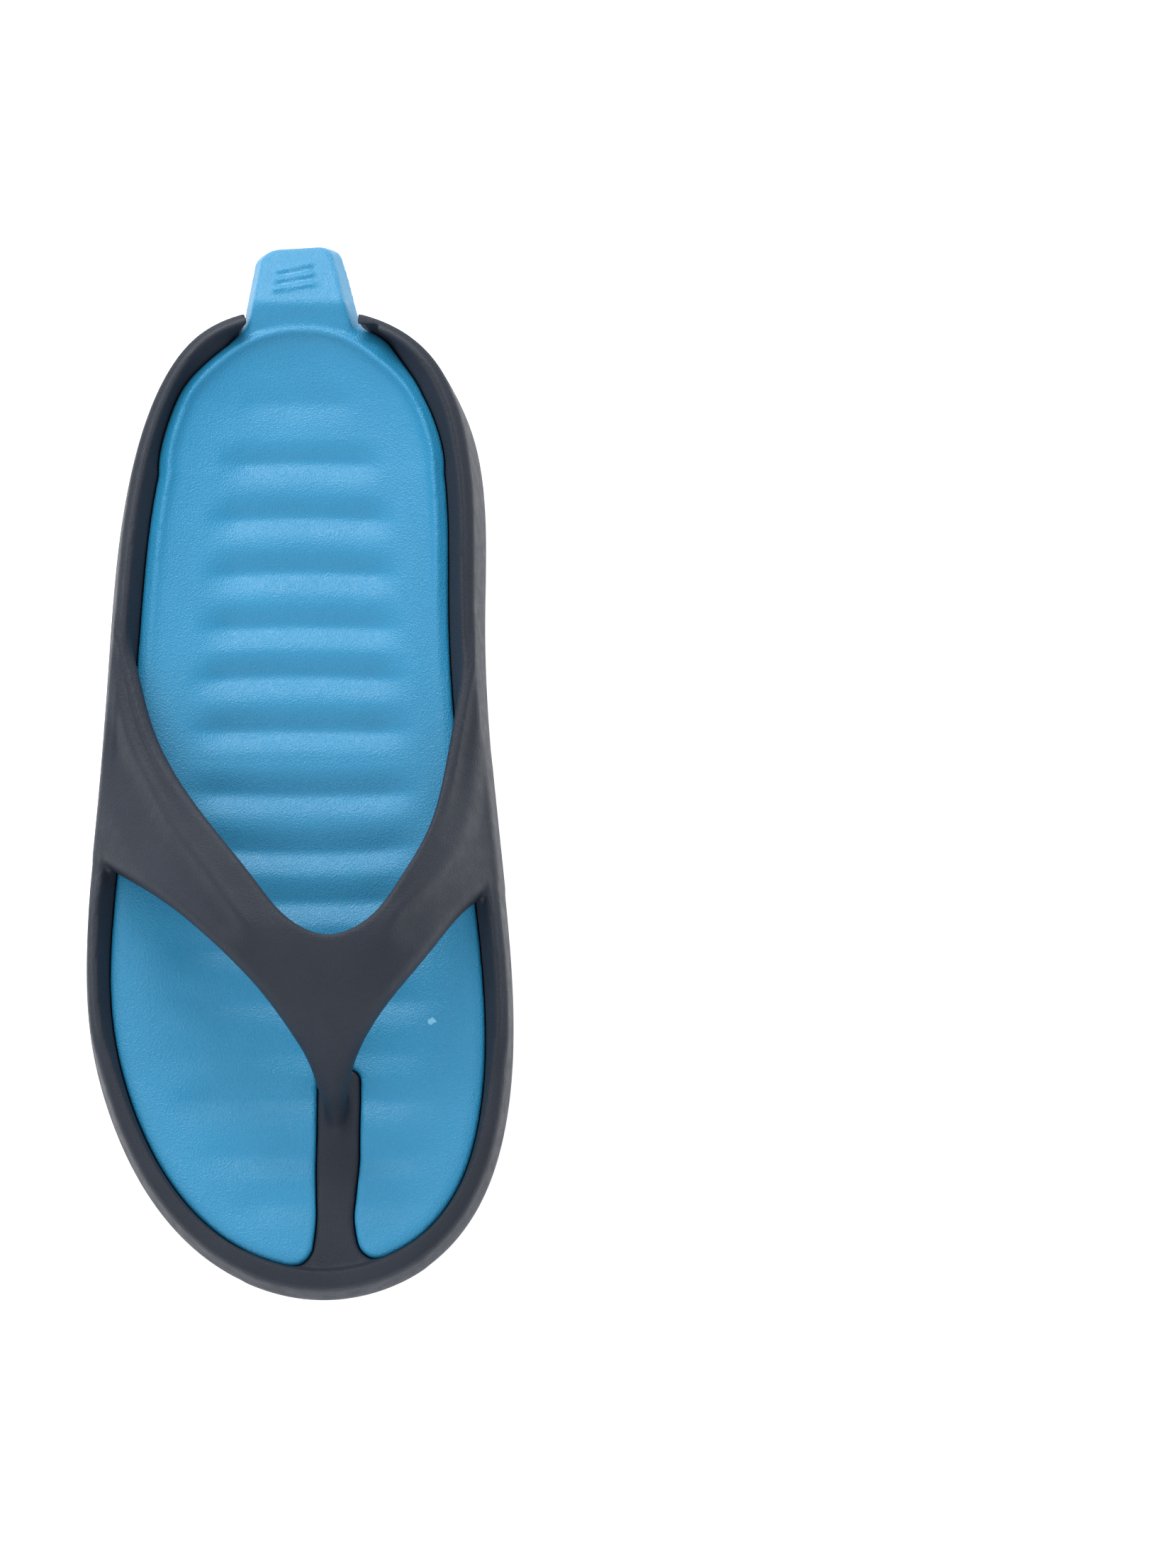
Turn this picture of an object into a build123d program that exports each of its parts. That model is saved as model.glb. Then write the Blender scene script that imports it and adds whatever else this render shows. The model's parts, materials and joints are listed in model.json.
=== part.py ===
"""Moulded foam flip flop for the right foot, with a footbed that lifts out by a heel tab.

The shell is one dark moulding: a thick sole, a wall all round it, a strap shaped
like a Y, the post between the toes and the bar that the post stands on. The
footbed is a second moulding that drops inside the wall. Each moulding is written
as the regions that it is made of, so that every region is a simple solid.

Axes: +Z up, +Y towards the heel, +X towards the big toe side. The origin is on the
ground, under the middle of the whole length, tab included. Units are millimetres.
"""

import os

from build123d import *

# ---------------------------------------------------------------- driving sizes
SOLE_LENGTH = 283.0          # toe tip to the back of the heel
SOLE_WIDTH = 118.0           # across the ball of the foot
TAB_OVERHANG = 16.5          # how far the heel tab stands out behind the heel
WIDEST_HEIGHT = 13.0         # height at which the sole is widest
UNDERCUT = 3.0               # how far the sole draws in below its widest line
TOE_SPRING = 9.0             # lift of the toe tip off the ground

HEEL_FLOOR = 15.0            # thickness of the sole under the heel
BALL_FLOOR = 11.0            # thickness of the sole under the ball of the foot
TOE_FLOOR = 14.0             # height of the floor of the shell at the toe tip
HEEL_FOOTBED = 12.0          # thickness of the footbed under the heel
BALL_FOOTBED = 10.0          # thickness of the footbed under the ball and toes

HEEL_RIM = 7.0               # rim of the wall above the footbed, round the heel
BALL_RIM = 7.5               # rim above the footbed, beside the ball of the foot
MID_RIM = 4.5                # the same, beside the toes
TOE_RIM = 2.0                # the same, round the toe tip
RIM_DIP = 1.0                # the rim is this much lower where the footbed bends
ARCH_DIP = 2.0               # the footbed is this much lower there than at the heel
HEEL_RISE = 1.0              # the footbed rises by this much to the back of the heel

FOOTBED_GAP = 0.8            # between the edge of the footbed and the wall
SEAT_GAP = 0.3               # under the part of the footbed that lifts
BEND_GAP = 0.3               # between the two parts of the footbed

STRAP_HEIGHT = 66.0          # top of the strap where its arms meet
STRAP_THICKNESS = 7.5        # measured straight down
STRAP_TIP_WIDTH = 4.0        # of the V that holds the instep, where its two edges meet
STRAP_CENTRE = 11.7          # the line between the first and second toe, in X
TOE_BAR_WIDTH = 10.4
TOE_POST_WIDTH = 14.0        # where the strap turns down into the post
TOE_POST_FOOT = 8.0          # width of the post at its rounded foot
TOE_POST_FRONT = 5.0         # height of the front of the post above the bar

TAB_CENTRE = -1.3            # the tab stands a little to the outer side
TAB_WIDTH = 31.0             # across its root, on top
TAB_NECK = 1.0               # narrower by this much over the edge of the footbed
TAB_BEND_NECK = 4.0          # and by this much at its bend
TAB_TIP_WIDTH = 22.0
TAB_RISE = 5.0               # top of the tab above the footbed
TAB_DRAFT = 2.0              # each side slopes out by this much to the underside
TAB_THICKNESS = 8.0
TAB_TIP_THICKNESS = 5.0
TAB_DROP = 7.0               # fall of the tab from its bend to its tip
TAB_ROOT_DIP = 3.0           # the top of the tab falls this much into the dish of the footbed
TAB_GAP = 1.2                # under the tab, where it passes over the wall
NOTCH_OUTER_GAP = 1.0        # beside the tab's underside, in the notch
NOTCH_INNER_GAP = 4.0        # the same on the big toe side, where there is more room

BEND_STATION = 0.614         # share of the sole length at which the footbed bends

# ------------------------------------------------------- places that follow them
HALF_WIDTH = SOLE_WIDTH / 2
OVERALL_LENGTH = SOLE_LENGTH + TAB_OVERHANG
TOE_Y = -OVERALL_LENGTH / 2
HEEL_Y = TOE_Y + SOLE_LENGTH
TAB_Y = HEEL_Y + TAB_OVERHANG
SKY = STRAP_HEIGHT + 20      # higher than anything on the part
REACH = SOLE_LENGTH          # longer than anything on the part


def along(station: float) -> float:
    """Place along Y at a share of the sole length, counted from the toe tip."""
    return TOE_Y + station * SOLE_LENGTH


BEND_Y = along(BEND_STATION)
BALL_Y = along(0.37)         # middle of the ball of the foot
TREAD_Y = along(0.34)        # in front of this the sole curves off the ground
POST_BACK_Y = along(0.225)   # the strap meets the post here
POST_FRONT_Y = along(0.16)   # rounded foot of the post
BAR_BACK_Y = along(0.232)
ARM_BACK_OUTER_Y = along(0.608)      # where the arms of the strap leave the wall
ARM_BACK_INNER_Y = along(0.622)
ARM_FRONT_OUTER_Y = along(0.431)     # front end of the arms, on the wall
ARM_FRONT_INNER_Y = along(0.409)
TOE_WALL_END_Y = along(0.339)
TAB_ROOT_Y = HEEL_Y - 12.5   # the footbed's round end and the tab are one piece from here
TAB_EDGE_Y = HEEL_Y - 8.0    # the tab passes over the edge of the footbed
TAB_BEND_Y = HEEL_Y - 1.5
NOTCH_Y = HEEL_Y - 25.0      # the notch in the wall is cut from here backwards
ENDS = (TOE_Y - 20, TAB_Y + 20)      # side lines and cuts run past both ends

# Half outline of the sole at its widest: share of the length from the toe tip,
# then the share of the half width on the outer side and on the big toe side.
TIP_OFFSET = 0.135           # the toe tip lies towards the big toe
STATIONS = [
    (0.035, 0.350, 0.620),
    (0.090, 0.615, 0.835),
    (0.170, 0.825, 0.965),
    (0.260, 0.947, 1.000),
    (0.360, 0.984, 0.980),
    (0.500, 0.938, 0.910),
    (0.680, 0.893, 0.862),
    (0.820, 0.845, 0.860),
    (0.910, 0.735, 0.752),
    (0.970, 0.517, 0.508),
]

# How far each edge lies inside the widest outline: at the toe, beside the heel,
# and at the back of the heel.
WIDEST = (0.0, 0.0, 0.0)
GROUND_EDGE = (UNDERCUT, UNDERCUT, UNDERCUT)
RIM_OUTSIDE = (2.5, 4.5, 3.6)
RIM_INSIDE = (4.6, 7.8, 6.4)
FOOTBED_EDGE = (6.3, 12.0, 8.0)
FLOOR_EDGE = tuple(inset - FOOTBED_GAP for inset in FOOTBED_EDGE)


def outline_points(inset: tuple) -> list:
    """Points of a closed outline that lies inside the widest one by inset."""
    toe, side, heel = inset
    length = SOLE_LENGTH - toe - heel

    def place(station: float, share: float) -> tuple:
        depth = toe + (side - toe) * station
        return (share * (HALF_WIDTH - depth), TOE_Y + toe + station * length)

    outer_side = [place(station, -outer) for station, outer, _ in STATIONS]
    toe_side = [place(station, inner) for station, _, inner in STATIONS]
    return [place(0, TIP_OFFSET), *outer_side, place(1, 0), *reversed(toe_side)]


def outline_loft(*sections: tuple) -> Part:
    """Solid through outlines, each given as (inset, height), from the lowest up."""
    with BuildPart() as solid:
        for inset, height in sections:
            with BuildSketch(Plane.XY.offset(height)):
                with BuildLine():
                    Spline(*outline_points(inset), periodic=True)
                make_face()
        loft(ruled=True)
    return solid.part


def outline_column(inset: tuple) -> Part:
    """Upright solid of one outline, from the ground to above the whole part."""
    with BuildPart() as solid:
        with BuildSketch():
            with BuildLine():
                Spline(*outline_points(inset), periodic=True)
            make_face()
        extrude(amount=SKY)
    return solid.part


def side_slab(lower: list, upper: list) -> Part:
    """Solid between two lines of (y, z) points, both from toe to heel, across X."""
    with BuildPart() as solid:
        with BuildSketch(Plane.YZ):
            with BuildLine():
                Polyline(*lower)
                Polyline(*upper)
                Line(lower[0], upper[0])
                Line(lower[-1], upper[-1])
            make_face()
        extrude(amount=REACH, both=True)
    return solid.part


def block(x_range: tuple, y_range: tuple, z_range: tuple = (-SKY, SKY)) -> Part:
    """Plain block between two limits on each axis, to keep or cut a region with."""
    low = Vector(x_range[0], y_range[0], z_range[0])
    high = Vector(x_range[1], y_range[1], z_range[1])
    size = high - low
    middle = low + size * 0.5
    return Pos(middle) * Box(size.X, size.Y, size.Z, mode=Mode.PRIVATE)


# ------------------------------------------------------------- heights along Y
FLOOR_LINE = [
    (ENDS[0], TOE_FLOOR),
    (along(0.03), TOE_FLOOR),
    (along(0.20), BALL_FLOOR),
    (BALL_Y, BALL_FLOOR),
    (BEND_Y, HEEL_FLOOR),
    (ENDS[1], HEEL_FLOOR),
]

HEEL_TOP = HEEL_FLOOR + HEEL_FOOTBED
BALL_TOP = BALL_FLOOR + BALL_FOOTBED
TOE_TOP = TOE_FLOOR + BALL_FOOTBED
BEND_TOP = HEEL_TOP - ARCH_DIP

FOOTBED_LINE = [
    (ENDS[0], TOE_TOP),
    (along(0.03), TOE_TOP),
    (along(0.20), BALL_TOP),
    (BALL_Y, BALL_TOP),
    (BEND_Y, BEND_TOP),
    (along(0.80), HEEL_TOP),
    (ENDS[1], HEEL_TOP + HEEL_RISE),
]

RIM_LINE = [
    (ENDS[0], TOE_TOP + TOE_RIM),
    (along(0.20), BALL_TOP + MID_RIM),
    (BALL_Y, BALL_TOP + BALL_RIM),
    (BEND_Y, HEEL_TOP + HEEL_RIM - RIM_DIP),
    (ENDS[1], HEEL_TOP + HEEL_RIM),
]


def height_at(line: list, y: float) -> float:
    """Height of a side line at one place along Y."""
    for (y0, z0), (y1, z1) in zip(line, line[1:]):
        if y <= y1:
            return z0 + (z1 - z0) * (y - y0) / (y1 - y0)
    return line[-1][1]


def raised(line: list, lift: float) -> list:
    """The same line of points, higher by lift."""
    return [(place, z + lift) for place, z in line]


def level(height: float) -> list:
    """A level side line past both ends of the part."""
    return [(ENDS[0], height), (ENDS[1], height)]


# --------------------------------------------------------------- shell: the form
SHELL_FORM = outline_loft((GROUND_EDGE, 0), (WIDEST, WIDEST_HEIGHT), (RIM_OUTSIDE, HEEL_TOP + HEEL_RIM))
CAVITY = outline_loft((FLOOR_EDGE, 0), (RIM_INSIDE, HEEL_TOP + HEEL_RIM), (RIM_INSIDE, SKY))
BELOW_FLOOR = side_slab(level(-SKY), FLOOR_LINE)
UNDER_RIM = side_slab(FLOOR_LINE, RIM_LINE)

with BuildPart() as toe_lift:
    with BuildSketch(Plane.YZ):
        with BuildLine():
            Line((ENDS[1], 0), (TREAD_Y, 0))
            curve = TangentArc((TREAD_Y, 0), (TOE_Y, TOE_SPRING), tangent=(-1, 0))
            Polyline(curve @ 1, (ENDS[0], TOE_SPRING * 2), (ENDS[0], -SKY), (ENDS[1], -SKY), (ENDS[1], 0))
        make_face()
    extrude(amount=REACH, both=True)

with BuildPart() as sole:
    add(SHELL_FORM)
    add(BELOW_FLOOR, mode=Mode.INTERSECT)
    add(toe_lift.part, mode=Mode.SUBTRACT)

# -------------------------------------------------------------- shell: the strap
# The strap is cut from an arched sheet. Each section across the foot gives its
# share of the sole length, the shares of the half width at which the sheet meets the
# rim on the outer side and on the big toe side, and the share of its full height.
POST_BACK_SHARE = 0.70
ARCH = [
    (0.640, -0.825, 0.790, 0.68),
    (0.500, -0.870, 0.825, 0.85),
    (0.390, -0.910, 0.890, 0.95),
    (0.310, -0.915, 0.930, 1.00),
    (0.265, -0.900, 0.930, 0.90),
    (0.225, -0.860, 0.910, POST_BACK_SHARE),
    (0.200, -0.820, 0.890, 0.55),
]
SHOULDER = 0.5               # where the arch has a shoulder, as a share of its half span
SHOULDER_RISE = 0.78         # height there, as a share of the rise to the centre
RIM_COVER = 1.0              # the sheet starts this far below the top of the rim

with BuildPart() as arched_sheet:
    for station, outer_share, inner_share, height_share in ARCH:
        section_y = along(station)
        left = outer_share * HALF_WIDTH
        right = inner_share * HALF_WIDTH
        low = height_at(RIM_LINE, section_y) - RIM_COVER
        high = height_share * STRAP_HEIGHT
        shoulder = low + (high - low) * SHOULDER_RISE
        arch = [
            (left, low),
            (STRAP_CENTRE + (left - STRAP_CENTRE) * SHOULDER, shoulder),
            (STRAP_CENTRE, high),
            (STRAP_CENTRE + (right - STRAP_CENTRE) * SHOULDER, shoulder),
            (right, low),
        ]
        with BuildSketch(Plane.XZ.offset(-section_y)):
            with BuildLine():
                over = Spline(*arch)
                under = Spline(*raised(arch, -STRAP_THICKNESS))
                Line(over @ 0, under @ 0)
                Line(over @ 1, under @ 1)
            make_face()
    loft()


# The strap in plan: a V that holds the instep, open towards the heel, and two
# front edges that sweep from the wall to the post.
with BuildPart() as strap_plan:
    with BuildSketch():
        with BuildLine():
            back = Spline(
                (-HALF_WIDTH, ARM_BACK_OUTER_Y),
                (-0.68 * HALF_WIDTH, along(0.525)),
                (-0.30 * HALF_WIDTH, along(0.410)),
                (STRAP_CENTRE - STRAP_TIP_WIDTH / 2, along(0.312)),
                (STRAP_CENTRE + STRAP_TIP_WIDTH / 2, along(0.312)),
                (0.50 * HALF_WIDTH, along(0.375)),
                (0.69 * HALF_WIDTH, along(0.500)),
                (HALF_WIDTH, ARM_BACK_INNER_Y),
            )
            front = Spline(
                (HALF_WIDTH, ARM_FRONT_INNER_Y),
                (0.80 * HALF_WIDTH, along(0.372)),
                (0.55 * HALF_WIDTH, along(0.293)),
                (STRAP_CENTRE + TOE_POST_WIDTH / 2, POST_BACK_Y),
            )
            Line(front @ 1, (STRAP_CENTRE - TOE_POST_WIDTH / 2, POST_BACK_Y))
            outer = Spline(
                (STRAP_CENTRE - TOE_POST_WIDTH / 2, POST_BACK_Y),
                (-0.21 * HALF_WIDTH, along(0.289)),
                (-0.82 * HALF_WIDTH, along(0.406)),
                (-HALF_WIDTH, ARM_FRONT_OUTER_Y),
            )
            Line(outer @ 1, back @ 0)
            Line(back @ 1, front @ 0)
        make_face()
    extrude(amount=SKY)

with BuildPart() as strap_form:
    add(arched_sheet.part)
    add(strap_plan.part, mode=Mode.INTERSECT)
    add(outline_column(RIM_OUTSIDE), mode=Mode.INTERSECT)

# ------------------------------------------------------ shell: walls and strap
TAB_UNDER_HALF = TAB_WIDTH / 2 + TAB_DRAFT
TAB_TOP = HEEL_TOP + TAB_RISE
NOTCH_FLOOR = TAB_TOP - TAB_THICKNESS - TAB_GAP
NOTCH = block(
    (TAB_CENTRE - TAB_UNDER_HALF - NOTCH_OUTER_GAP, TAB_CENTRE + TAB_UNDER_HALF + NOTCH_INNER_GAP),
    (NOTCH_Y, ENDS[1]),
    (NOTCH_FLOOR, SKY),
)

with BuildPart() as upper:
    add(SHELL_FORM)
    add(UNDER_RIM, mode=Mode.INTERSECT)
    add(CAVITY, mode=Mode.SUBTRACT)
    add(NOTCH, mode=Mode.SUBTRACT)
    add(strap_form.part)

# Upright cuts through the upper: two arms of the strap inside the walls, and three
# lengths of wall on each side.
STRAP_OUTER_X = -0.745 * HALF_WIDTH
STRAP_TOE_X = 0.715 * HALF_WIDTH
STRAP_RANGE = (POST_BACK_Y, BEND_Y)
WALL_RANGES = {
    "toe_wall": (ENDS[0], TOE_WALL_END_Y),
    "side_wall": (TOE_WALL_END_Y, BEND_Y),
    "heel_wall": (BEND_Y, ENDS[1]),
}

with BuildPart() as walls:
    add(upper.part)
    add(block((STRAP_OUTER_X, STRAP_TOE_X), STRAP_RANGE), mode=Mode.SUBTRACT)

nodes = {"sole": sole.part}
for name, y_range in WALL_RANGES.items():
    for side, x_range in {"outer": (-REACH, STRAP_CENTRE), "inner": (STRAP_CENTRE, REACH)}.items():
        with BuildPart() as length_of_wall:
            add(walls.part)
            add(block(x_range, y_range), mode=Mode.INTERSECT)
        nodes[f"{name}_{side}"] = length_of_wall.part

for side, x_range in {"outer": (STRAP_OUTER_X, STRAP_CENTRE), "inner": (STRAP_CENTRE, STRAP_TOE_X)}.items():
    with BuildPart() as arm:
        add(upper.part)
        add(block(x_range, STRAP_RANGE), mode=Mode.INTERSECT)
    nodes[f"strap_{side}_arm"] = arm.part

# ---------------------------------------------------- shell: toe bar and toe post
with BuildPart() as bar_form:
    with BuildSketch():
        with Locations((STRAP_CENTRE, (BAR_BACK_Y + ENDS[0]) / 2)):
            SlotOverall(BAR_BACK_Y - ENDS[0], TOE_BAR_WIDTH, rotation=90)
    extrude(amount=SKY)

with BuildPart() as toe_bar:
    add(bar_form.part)
    add(CAVITY, mode=Mode.INTERSECT)
    add(side_slab(FLOOR_LINE, FOOTBED_LINE), mode=Mode.INTERSECT)
nodes["toe_bar"] = toe_bar.part

post_top = [
    (POST_FRONT_Y, BALL_TOP + TOE_POST_FRONT),
    (along(0.185), 0.50 * STRAP_HEIGHT),
    (along(0.205), 0.60 * STRAP_HEIGHT),
    (POST_BACK_Y, POST_BACK_SHARE * STRAP_HEIGHT),
]
with BuildPart() as toe_post:
    with BuildSketch():
        with BuildLine():
            half_back = TOE_POST_WIDTH / 2
            half_foot = TOE_POST_FOOT / 2
            foot_y = POST_FRONT_Y + half_foot
            Polyline(
                (STRAP_CENTRE - half_foot, foot_y),
                (STRAP_CENTRE - half_back, POST_BACK_Y),
                (STRAP_CENTRE + half_back, POST_BACK_Y),
                (STRAP_CENTRE + half_foot, foot_y),
            )
            ThreePointArc(
                (STRAP_CENTRE + half_foot, foot_y),
                (STRAP_CENTRE, POST_FRONT_Y),
                (STRAP_CENTRE - half_foot, foot_y),
            )
        make_face()
    extrude(amount=SKY)
    add(side_slab(FOOTBED_LINE[1:4], post_top), mode=Mode.INTERSECT)
nodes["toe_post"] = toe_post.part

# ------------------------------------------------------------------- the footbed
FOOTBED_FORM = outline_column(FOOTBED_EDGE)

with BuildPart() as bar_slot:
    with BuildSketch():
        with Locations((STRAP_CENTRE, (BAR_BACK_Y + FOOTBED_GAP + ENDS[0]) / 2)):
            slot_length = BAR_BACK_Y + FOOTBED_GAP - ENDS[0]
            SlotOverall(slot_length, TOE_BAR_WIDTH + 2 * FOOTBED_GAP, rotation=90)
    extrude(amount=SKY)

with BuildPart() as footbed_front:
    add(FOOTBED_FORM)
    add(side_slab(FLOOR_LINE, FOOTBED_LINE), mode=Mode.INTERSECT)
    add(block((-REACH, REACH), (ENDS[0], BEND_Y - BEND_GAP)), mode=Mode.INTERSECT)
    add(bar_slot.part, mode=Mode.SUBTRACT)
nodes["footbed_front"] = footbed_front.part

footbed_seat = side_slab(raised(FLOOR_LINE, SEAT_GAP), FOOTBED_LINE)
with BuildPart() as footbed_heel:
    add(FOOTBED_FORM)
    add(footbed_seat, mode=Mode.INTERSECT)
    add(block((-REACH, REACH), (BEND_Y, TAB_ROOT_Y)), mode=Mode.INTERSECT)
nodes["footbed_heel"] = footbed_heel.part

# The tab: sections across it at its root, its bend and its tip.
TAB_SECTIONS = [
    (TAB_ROOT_Y, TAB_WIDTH, TAB_TOP - TAB_ROOT_DIP, TAB_THICKNESS - TAB_ROOT_DIP),
    (TAB_EDGE_Y, TAB_WIDTH - TAB_NECK, TAB_TOP, TAB_THICKNESS),
    (TAB_BEND_Y, TAB_WIDTH - TAB_BEND_NECK, TAB_TOP, TAB_THICKNESS),
    (TAB_Y, TAB_TIP_WIDTH, TAB_TOP - TAB_DROP, TAB_TIP_THICKNESS),
]
with BuildPart() as tab_form:
    for y, width, top, thickness in TAB_SECTIONS:
        with BuildSketch(Plane.XZ.offset(-y)):
            with BuildLine():
                half_top = width / 2
                half_under = half_top + TAB_DRAFT
                Polyline(
                    (TAB_CENTRE - half_top, top),
                    (TAB_CENTRE + half_top, top),
                    (TAB_CENTRE + half_under, top - thickness),
                    (TAB_CENTRE - half_under, top - thickness),
                    close=True,
                )
            make_face()
    loft(ruled=True)

with BuildPart() as heel_tab:
    add(FOOTBED_FORM)
    add(footbed_seat, mode=Mode.INTERSECT)
    add(block((-REACH, REACH), (TAB_ROOT_Y, TAB_Y)), mode=Mode.INTERSECT)
    add(tab_form.part)
nodes["heel_tab"] = heel_tab.part

# ------------------------------------------------------------------------ export
os.makedirs("parts", exist_ok=True)
for name, part in nodes.items():
    part.label = name
    export_step(part, f"parts/{name}.step")
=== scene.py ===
"""Looks of a moulded foam flip flop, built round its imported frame.

Two mouldings are carved as smooth solids: the dark shell, with its wall, rim bead,
strap, toe post and toe bar, and the blue footbed, with its cross ribs, raised heel
lip and pull tab. Sizes in the classes are millimetres, and meshes are in metres.
"""

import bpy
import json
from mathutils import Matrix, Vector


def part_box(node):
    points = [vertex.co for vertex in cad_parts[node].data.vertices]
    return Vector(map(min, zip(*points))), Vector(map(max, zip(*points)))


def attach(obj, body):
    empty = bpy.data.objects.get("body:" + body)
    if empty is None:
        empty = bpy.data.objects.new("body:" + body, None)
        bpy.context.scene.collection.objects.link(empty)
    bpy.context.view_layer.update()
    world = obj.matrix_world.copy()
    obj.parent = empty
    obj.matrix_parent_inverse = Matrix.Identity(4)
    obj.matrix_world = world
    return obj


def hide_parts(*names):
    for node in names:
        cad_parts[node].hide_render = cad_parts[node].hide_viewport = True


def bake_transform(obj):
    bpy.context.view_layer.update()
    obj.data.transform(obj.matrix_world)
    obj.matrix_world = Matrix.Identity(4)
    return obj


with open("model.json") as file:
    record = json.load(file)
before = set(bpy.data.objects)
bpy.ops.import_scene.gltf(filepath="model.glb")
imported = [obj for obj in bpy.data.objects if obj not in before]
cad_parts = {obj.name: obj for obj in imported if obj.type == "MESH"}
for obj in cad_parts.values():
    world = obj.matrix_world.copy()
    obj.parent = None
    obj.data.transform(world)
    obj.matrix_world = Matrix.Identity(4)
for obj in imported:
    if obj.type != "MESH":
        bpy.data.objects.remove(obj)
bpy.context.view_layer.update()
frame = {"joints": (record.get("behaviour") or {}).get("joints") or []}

import json
import logging
import math
from dataclasses import dataclass, field
from enum import Enum

import bpy
import numpy as np
import openvdb
from mathutils import Vector

MM = 0.001
MOST_TRIANGLES = 190_000
FIELD_REACH = 3.0  # cells of distance kept on each side of a skin
FAR = 1e9
LOG = logging.getLogger("flip_flop")
SHELL_NODES = (
    "sole",
    "toe_wall_outer",
    "toe_wall_inner",
    "side_wall_outer",
    "side_wall_inner",
    "heel_wall_outer",
    "heel_wall_inner",
    "strap_outer_arm",
    "strap_inner_arm",
    "toe_bar",
    "toe_post",
)
FOOTBED_NODES = ("footbed_front", "footbed_heel", "heel_tab")


class Slot(Enum):
    """Material slots of the record."""

    SHELL = "shell_foam"
    FOOTBED = "footbed_foam"


class Body(Enum):
    """Rigid bodies of the frame."""

    SHELL = "shell"
    HEEL = "footbed_heel"


# ------------------------------------------------------------------ form tools
def smooth_min(a: np.ndarray, b: np.ndarray, radius: float) -> np.ndarray:
    """Join two distance fields with a fillet.

    Args:
        a: First field, negative inside.
        b: Second field, negative inside.
        radius: Size of the fillet.

    Returns:
        The joined field.
    """
    blend = np.clip(radius - np.abs(a - b), 0, None) / radius
    return np.minimum(a, b) - blend * blend * radius * 0.25


def smooth_max(a: np.ndarray, b: np.ndarray, radius: float) -> np.ndarray:
    """Keep what lies in both fields, with the edge between them rounded.

    Args:
        a: First field, negative inside.
        b: Second field, negative inside.
        radius: Size of the rounding.

    Returns:
        The common field.
    """
    return -smooth_min(-a, -b, radius)


def rounded(a: np.ndarray, b: np.ndarray, radius: float) -> np.ndarray:
    """Keep what lies in both fields, with a true round edge of one radius.

    Args:
        a: First field, negative inside.
        b: Second field, negative inside.
        radius: Radius of the edge.

    Returns:
        The common field.
    """
    a = a + radius
    b = b + radius
    outside = np.hypot(np.maximum(a, 0), np.maximum(b, 0))
    return outside + np.minimum(np.maximum(a, b), 0) - radius


def step(value: np.ndarray, start: float, end: float) -> np.ndarray:
    """Ease from 0 at start to 1 at end.

    Args:
        value: Where to measure.
        start: Value that gives 0.
        end: Value that gives 1.

    Returns:
        The eased share.
    """
    share = np.clip((value - start) / (end - start), 0, 1)
    return share * share * (3 - 2 * share)


def ridge(value: np.ndarray, centre: float, spread: float) -> np.ndarray:
    """Soft ridge of height 1 at a centre.

    Args:
        value: Where to measure.
        centre: Place of the crest.
        spread: Distance at which it has mostly died away.

    Returns:
        The height of the ridge.
    """
    return np.exp(-(((value - centre) / spread) ** 2))


def spline(points: list, closed: bool = False, per_span: int = 14) -> np.ndarray:
    """Smooth curve through a few points, as a cubic spline on chord length.

    Args:
        points: Points in plan.
        closed: True for a loop.
        per_span: Samples between two points.

    Returns:
        Samples along the curve, one row each.
    """
    pts = np.array(points, float)
    if closed:
        pts = np.vstack([pts, pts[:1]])
    chords = np.hypot(*np.diff(pts, axis=0).T)
    count = len(pts)
    system = np.zeros((count, count))
    right = np.zeros((count, 2))
    slopes = np.diff(pts, axis=0) / chords[:, None]
    for i in range(1, count - 1):
        system[i, i - 1 : i + 2] = (chords[i], 2 * (chords[i - 1] + chords[i]), chords[i - 1])
        right[i] = 3 * (chords[i] * slopes[i - 1] + chords[i - 1] * slopes[i])
    if closed:
        system[0, [0, 1, -2]] = (2 * (chords[-1] + chords[0]), chords[-1], chords[0])
        right[0] = 3 * (chords[0] * slopes[-1] + chords[-1] * slopes[0])
        system[-1, [0, -1]] = (1, -1)
    else:
        system[0, :2] = (2, 1)
        right[0] = 3 * slopes[0]
        system[-1, -2:] = (1, 2)
        right[-1] = 3 * slopes[-1]
    tangents = np.linalg.solve(system, right)
    t = (np.arange(per_span) / per_span)[:, None]
    spans = []
    for i in range(count - 1):
        p0, p1 = pts[i], pts[i + 1]
        m0, m1 = tangents[i] * chords[i], tangents[i + 1] * chords[i]
        spans.append(
            (1 + 2 * t) * (1 - t) ** 2 * p0
            + t * (1 - t) ** 2 * m0
            + t * t * (3 - 2 * t) * p1
            + t * t * (t - 1) * m1
        )
    samples = np.vstack(spans)
    return samples if closed else np.vstack([samples, pts[-1:]])


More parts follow.
